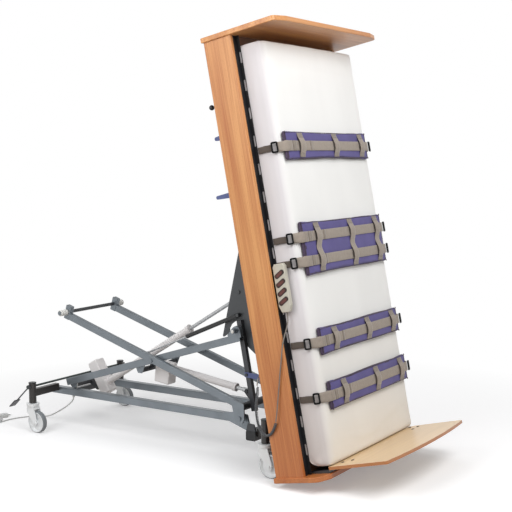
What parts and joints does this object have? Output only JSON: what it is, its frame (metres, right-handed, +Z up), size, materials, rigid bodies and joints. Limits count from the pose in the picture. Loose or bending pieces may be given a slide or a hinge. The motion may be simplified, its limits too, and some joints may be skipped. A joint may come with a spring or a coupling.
{
  "type": "standing tilt table",
  "caption": "Standing tilt table on a castored scissor lift, with a wood-sided bed, mattress, four strapped pads, a foot plate, two drives, a handset and a braked base.",
  "frame": {"origin": "centre of the box round the table without its cords, on the floor", "axes": "+X from the head-end castors toward the foot plate, +Y to the table's left side, +Z up"},
  "size_m": [2.7712, 1.0241, 2.2223],
  "materials": {
    "chassis_grey": "satin silver-grey powder coat",
    "chassis_dark": "satin dark grey paint",
    "actuator_shell": "light grey moulded housing with a pale tube",
    "steel_rod": "ground steel",
    "castor_plastic": "pale grey moulded plastic",
    "castor_wheel": "grey thermoplastic tread on a pale rim",
    "black_plastic": "black moulded plastic",
    "nylon": "white nylon",
    "wood": "red-brown wood veneer, satin lacquer",
    "plate_wood": "pale beech ply, satin lacquer",
    "deck_metal": "black satin paint",
    "deck_board": "brown laminated board",
    "mattress_cover": "white stretch cover",
    "pad_cover": "blue-violet coated fabric",
    "webbing": "taupe polyester webbing",
    "handset_shell": "beige-grey moulded plastic",
    "key": "dark red keys",
    "cable_grey": "light grey cable sheath",
    "lever_blue": "slate blue plastic grip",
    "brake_green": "dark green-black hexagonal rod"
  },
  "bodies": {
    "chassis": {"base_rails": "chassis_grey", "base_cross_tubes": "chassis_dark", "chassis_end_caps": "black_plastic", "castor_axle_tubes": "chassis_grey", "front_outriggers": "chassis_grey", "mains_lead": "cable_grey", "mains_coil": "cable_grey", "mains_plug": "cable_grey", "mains_strain_reliefs": "cable_grey"},
    "brake": {"brake_rod": "brake_green", "brake_pedal": "chassis_dark"},
    "outer_arms": {"lift_arms_outer": "chassis_grey", "outer_arm_cross_tubes": "chassis_dark"},
    "inner_arms": {"lift_arms_inner": "chassis_grey", "inner_arm_cross_tubes": "chassis_dark", "inner_arm_caps": "nylon"},
    "upper_roller_pair": {"upper_rollers": "nylon"},
    "lower_roller_pair": {"lower_rollers": "nylon"},
    "lift_actuator_body": {"lift_actuator_housing": "actuator_shell"},
    "lift_actuator_piston": {"lift_actuator_rod": "steel_rod"},
    "tilt_actuator_body": {"tilt_actuator_housing": "actuator_shell"},
    "tilt_actuator_piston": {"tilt_actuator_rod": "steel_rod"},
    "gas_spring_body": {"gas_spring_cylinder": "black_plastic"},
    "gas_spring_piston": {"gas_spring_rod": "steel_rod"},
    "bed": {"side_boards": "wood", "head_panel": "wood", "foot_panel": "wood", "bed_frame_tubes": "chassis_dark", "bed_cross_tubes": "chassis_dark", "deck_panel": "deck_board", "slotted_deck_edges": "deck_metal", "tilt_gussets": "chassis_dark", "hinge_frame": "chassis_dark", "mattress": "mattress_cover", "strap_pads": "pad_cover", "pad_straps": "webbing", "strap_buckles": "black_plastic", "foot_plate": "plate_wood", "foot_plate_fixings": "chassis_dark", "handset_case": "handset_shell", "control_box": "actuator_shell", "handset_cord": "handset_shell", "handset_cord_curls": "handset_shell", "lever_brackets": "chassis_dark"},
    "upper_lever": {"upper_release_lever": "lever_blue"},
    "middle_lever": {"middle_release_lever": "lever_blue"},
    "lower_lever": {"lower_release_lever": "lever_blue"},
    "knob": {"locking_knob": "black_plastic"},
    "castor_rear_right": {"castor_fork_rear_right": "castor_plastic"},
    "wheel_rear_right": {"castor_wheel_rear_right": "castor_wheel"},
    "castor_rear_left": {"castor_fork_rear_left": "castor_plastic"},
    "wheel_rear_left": {"castor_wheel_rear_left": "castor_wheel"},
    "castor_front_right": {"castor_fork_front_right": "castor_plastic"},
    "wheel_front_right": {"castor_wheel_front_right": "castor_wheel"},
    "castor_front_left": {"castor_fork_front_left": "castor_plastic"},
    "wheel_front_left": {"castor_wheel_front_left": "castor_wheel"},
    "key_1": {"handset_key_1": "key"},
    "key_2": {"handset_key_2": "key"},
    "key_3": {"handset_key_3": "key"},
    "key_4": {"handset_key_4": "key"}
  },
  "joints": [
    {"name": "swivel_rear_right", "type": "hinge", "parent": "chassis", "child": "castor_rear_right", "pos_m": [-1.0979, -0.381, 0.172], "axis": [0, 0, 1], "continuous": true},
    {"name": "roll_rear_right", "type": "hinge", "parent": "castor_rear_right", "child": "wheel_rear_right", "pos_m": [-1.0639, -0.381, 0.0625], "axis": [0, 1, 0], "continuous": true},
    {"name": "swivel_rear_left", "type": "hinge", "parent": "chassis", "child": "castor_rear_left", "pos_m": [-1.0979, 0.381, 0.172], "axis": [0, 0, 1], "continuous": true},
    {"name": "roll_rear_left", "type": "hinge", "parent": "castor_rear_left", "child": "wheel_rear_left", "pos_m": [-1.0639, 0.381, 0.0625], "axis": [0, 1, 0], "continuous": true},
    {"name": "swivel_front_right", "type": "hinge", "parent": "chassis", "child": "castor_front_right", "pos_m": [0.5121, -0.381, 0.172], "axis": [0, 0, 1], "continuous": true},
    {"name": "roll_front_right", "type": "hinge", "parent": "castor_front_right", "child": "wheel_front_right", "pos_m": [0.5461, -0.381, 0.0625], "axis": [0, 1, 0], "continuous": true},
    {"name": "swivel_front_left", "type": "hinge", "parent": "chassis", "child": "castor_front_left", "pos_m": [0.5121, 0.381, 0.172], "axis": [0, 0, 1], "continuous": true},
    {"name": "roll_front_left", "type": "hinge", "parent": "castor_front_left", "child": "wheel_front_left", "pos_m": [0.5461, 0.381, 0.0625], "axis": [0, 1, 0], "continuous": true},
    {"name": "brake", "type": "hinge", "parent": "chassis", "child": "brake", "pos_m": [-1.0979, 0, 0.267], "axis": [0, 1, 0], "range_deg": [-15, 15]},
    {"name": "lift", "type": "hinge", "parent": "chassis", "child": "outer_arms", "pos_m": [0.2441, 0, 0.222], "axis": [0, 1, 0], "range_deg": [0, 13]},
    {"name": "scissor", "type": "hinge", "parent": "outer_arms", "child": "inner_arms", "pos_m": [-0.3499, 0, 0.464], "axis": [0, 1, 0], "range_deg": [-25.07, 0]},
    {"name": "upper_roller_spin", "type": "hinge", "parent": "outer_arms", "child": "upper_roller_pair", "pos_m": [-0.9739, 0, 0.688], "axis": [0, 1, 0], "continuous": true},
    {"name": "lower_roller_spin", "type": "hinge", "parent": "inner_arms", "child": "lower_roller_pair", "pos_m": [-0.9829, 0, 0.2445], "axis": [0, 1, 0], "continuous": true},
    {"name": "tilt", "type": "hinge", "parent": "inner_arms", "child": "bed", "pos_m": [0.2041, 0, 0.675], "axis": [0, 1, 0], "range_deg": [-79.2, 0]},
    {"name": "tilt_actuator_swing", "type": "hinge", "parent": "inner_arms", "child": "tilt_actuator_body", "pos_m": [-0.9279, 0, 0.212], "axis": [0, 1, 0], "range_deg": [0, 3.76]},
    {"name": "tilt_actuator_stroke", "type": "slide", "parent": "tilt_actuator_body", "child": "tilt_actuator_piston", "axis": [0.8598, 0, 0.5106], "range_m": [-0.23873, 0]},
    {"name": "gas_spring_swing", "type": "hinge", "parent": "bed", "child": "gas_spring_body", "pos_m": [0.1871, -0.137, 0.75], "axis": [0, 1, 0], "range_deg": [0, 83.89]},
    {"name": "gas_spring_stroke", "type": "slide", "parent": "gas_spring_body", "child": "gas_spring_piston", "axis": [-0.9216, 0, -0.3882], "range_m": [-0.08343, 0]},
    {"name": "lift_actuator_swing", "type": "hinge", "parent": "inner_arms", "child": "lift_actuator_body", "pos_m": [-0.4379, -0.055, 0.414], "axis": [0, 1, 0], "range_deg": [0, 22.37]},
    {"name": "lift_actuator_stroke", "type": "slide", "parent": "lift_actuator_body", "child": "lift_actuator_piston", "axis": [0.9914, 0, -0.1306], "range_m": [-0.03289, 0]},
    {"name": "upper_lever_pull", "type": "hinge", "parent": "bed", "child": "upper_lever", "pos_m": [0.36505, -0.455, 1.67498], "axis": [0, 1, 0], "range_deg": [0, 20], "stiffness_Nm_per_rad": 2},
    {"name": "middle_lever_pull", "type": "hinge", "parent": "bed", "child": "middle_lever", "pos_m": [0.41752, -0.455, 1.39994], "axis": [0, 1, 0], "range_deg": [0, 20], "stiffness_Nm_per_rad": 2},
    {"name": "lower_lever_pull", "type": "hinge", "parent": "bed", "child": "lower_lever", "pos_m": [0.24767, -0.147, 0.44114], "axis": [0, 1, 0], "range_deg": [-15, 0], "stiffness_Nm_per_rad": 2},
    {"name": "knob_pull", "type": "slide", "parent": "bed", "child": "knob", "axis": [-0.9823, 0, -0.1874], "range_m": [0, 0.01], "stiffness_N_per_m": 300},
    {"name": "press_key_1", "type": "slide", "parent": "bed", "child": "key_1", "axis": [0, 1, 0], "range_m": [0, 0.0015], "stiffness_N_per_m": 300},
    {"name": "press_key_2", "type": "slide", "parent": "bed", "child": "key_2", "axis": [0, 1, 0], "range_m": [0, 0.0015], "stiffness_N_per_m": 300},
    {"name": "press_key_3", "type": "slide", "parent": "bed", "child": "key_3", "axis": [0, 1, 0], "range_m": [0, 0.0015], "stiffness_N_per_m": 300},
    {"name": "press_key_4", "type": "slide", "parent": "bed", "child": "key_4", "axis": [0, 1, 0], "range_m": [0, 0.0015], "stiffness_N_per_m": 300}
  ],
  "couplings": [
    {"joint": "scissor", "follows": "lift", "ratio": -1.9277},
    {"joint": "tilt_actuator_swing", "follows": "tilt", "ratio": -0.04734},
    {"joint": "tilt_actuator_stroke", "follows": "tilt", "m_per_rad": 0.17263},
    {"joint": "gas_spring_swing", "follows": "tilt", "ratio": -1.0592},
    {"joint": "gas_spring_stroke", "follows": "tilt", "m_per_rad": 0.060282},
    {"joint": "lift_actuator_swing", "follows": "lift", "ratio": 1.7197},
    {"joint": "lift_actuator_stroke", "follows": "lift", "m_per_rad": -0.14453}
  ]
}
